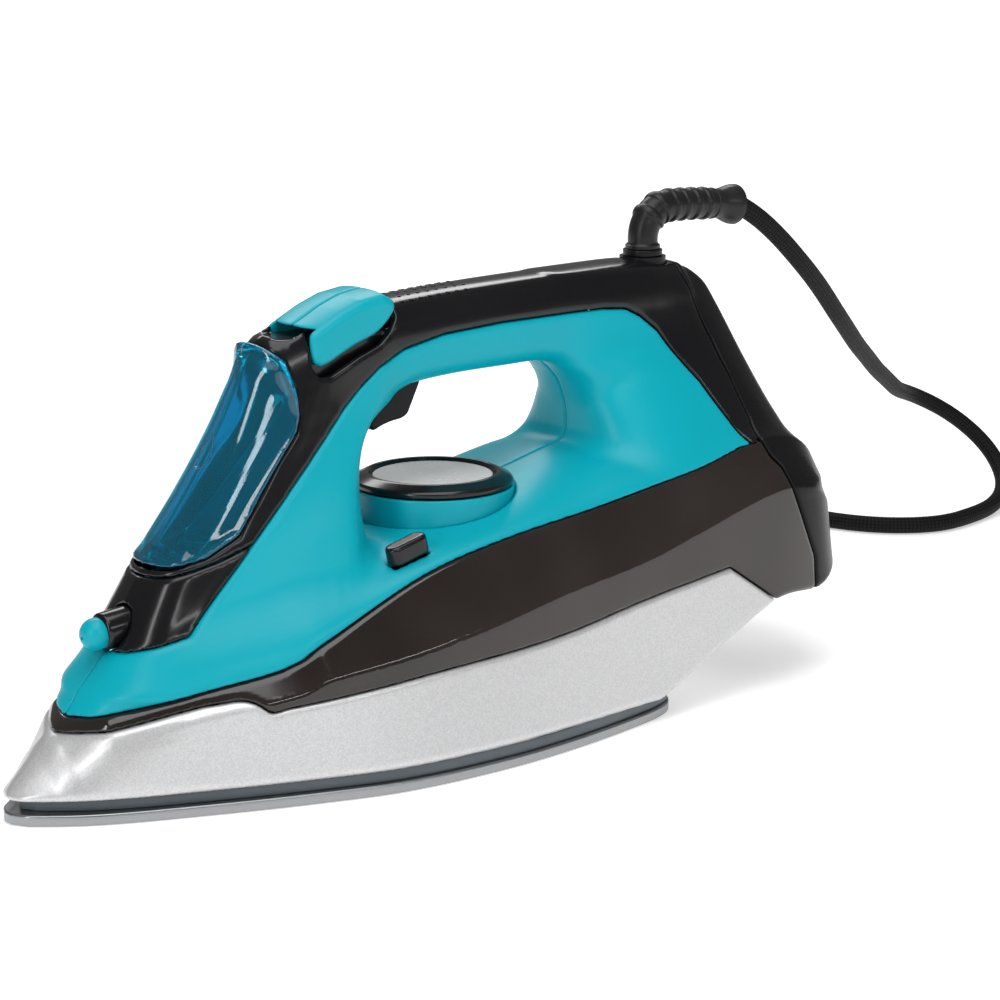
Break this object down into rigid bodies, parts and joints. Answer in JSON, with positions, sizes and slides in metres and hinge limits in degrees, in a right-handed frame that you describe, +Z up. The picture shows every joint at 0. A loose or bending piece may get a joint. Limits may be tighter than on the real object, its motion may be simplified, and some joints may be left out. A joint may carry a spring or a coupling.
{
  "type": "clothes iron",
  "caption": "Corded steam iron with a pointed soleplate, smoked water tank, loop handle, temperature dial, steam lever, thumb buttons and a swivelling cord guard.",
  "frame": {"origin": "middle of the soleplate's length on its ironing face", "axes": "+X towards the heel and the cord, +Y to the iron's right, +Z up, away from the ironing face"},
  "size_m": [0.5674, 0.296, 0.169],
  "materials": {
    "sole_metal": "polished soleplate",
    "ledge_grey": "slate grey satin",
    "cast_metal": "raw casting",
    "bright_metal": "bright",
    "silver_plastic": "metallic silver moulding",
    "smoke_clear": "smoked translucent plastic",
    "blue_clear": "blue translucent plastic",
    "teal_plastic": "teal gloss",
    "black_gloss": "black gloss",
    "black_satin": "black satin",
    "white_plastic": "natural white moulding",
    "mirror_disc": "bright satin",
    "rubber_black": "soft black",
    "braid": "black braid",
    "brass_pins": "plated"
  },
  "bodies": {
    "root": {"soleplate": "sole_metal", "sole_ledge": "ledge_grey", "heater_block": "cast_metal", "heating_element": "bright_metal", "steam_chamber_cover": "bright_metal", "thermostat": "bright_metal", "thermal_fuse": "white_plastic", "skirt": "silver_plastic", "water_tank": "smoke_clear", "spindle_tube": "white_plastic", "valve_body": "white_plastic", "housing_left": "teal_plastic", "housing_right": "teal_plastic", "handle_cover": "black_gloss", "front_cover": "black_gloss", "rear_cover": "black_satin", "rear_screws": "bright_metal", "heel_pads": "rubber_black", "nozzle_collar": "black_gloss", "spray_nozzle": "teal_plastic", "filler_neck": "black_satin", "filler_seal": "rubber_black", "lid_hinge_pin": "bright_metal", "dial_collar": "teal_plastic", "spray_pump": "white_plastic", "steam_pump": "white_plastic", "spray_spring": "bright_metal", "steam_spring": "bright_metal", "trigger_spring": "bright_metal", "terminal_block": "white_plastic", "swivel_socket": "black_satin", "cord": "braid", "cord_coil": "braid", "cord_tie": "rubber_black", "plug": "black_satin", "plug_pins": "brass_pins"},
    "dial": {"dial_knob": "black_gloss", "dial_disc": "mirror_disc", "dial_shaft": "bright_metal"},
    "lever": {"steam_lever": "black_gloss"},
    "needle": {"valve_needle": "bright_metal"},
    "spray_key": {"spray_button": "teal_plastic"},
    "steam_key": {"steam_button": "teal_plastic"},
    "trigger_key": {"trigger": "black_gloss"},
    "lid": {"filler_lid": "blue_clear", "lid_knuckle": "blue_clear"},
    "swivel": {"cord_swivel": "black_satin", "cord_guard": "rubber_black"}
  },
  "joints": [
    {"name": "temperature_dial", "type": "hinge", "parent": "root", "child": "dial", "pos_m": [0.045, 0, 0.08], "axis": [0, 0, 1], "range_deg": [0, 270]},
    {"name": "steam_lever", "type": "slide", "parent": "root", "child": "lever", "axis": [0.9703, 0, 0.2419], "range_m": [-0.004, 0.004]},
    {"name": "needle_lift", "type": "slide", "parent": "root", "child": "needle", "axis": [0, 0, 1], "range_m": [-0.001, 0.001]},
    {"name": "spray_press", "type": "slide", "parent": "root", "child": "spray_key", "axis": [0, 0, -1], "range_m": [0, 0.0025], "stiffness_N_per_m": 500, "springref_m": -0.004, "deforming": ["spray_spring"]},
    {"name": "steam_press", "type": "slide", "parent": "root", "child": "steam_key", "axis": [0, 0, -1], "range_m": [0, 0.0025], "stiffness_N_per_m": 500, "springref_m": -0.004, "deforming": ["steam_spring"]},
    {"name": "trigger_pull", "type": "slide", "parent": "root", "child": "trigger_key", "axis": [0, 0, 1], "range_m": [0, 0.003], "stiffness_N_per_m": 400, "springref_m": -0.003, "deforming": ["trigger_spring"]},
    {"name": "lid_hinge", "type": "hinge", "parent": "root", "child": "lid", "pos_m": [-0.0615, 0, 0.0745], "axis": [0, -1, 0], "range_deg": [0, 50]},
    {"name": "cord_swivel", "type": "hinge", "parent": "root", "child": "swivel", "pos_m": [0.1385, 0, 0.149], "axis": [0, 0, 1], "range_deg": [-70, 70]}
  ],
  "couplings": [
    {"joint": "needle_lift", "follows": "steam_lever", "ratio": 0.25}
  ]
}
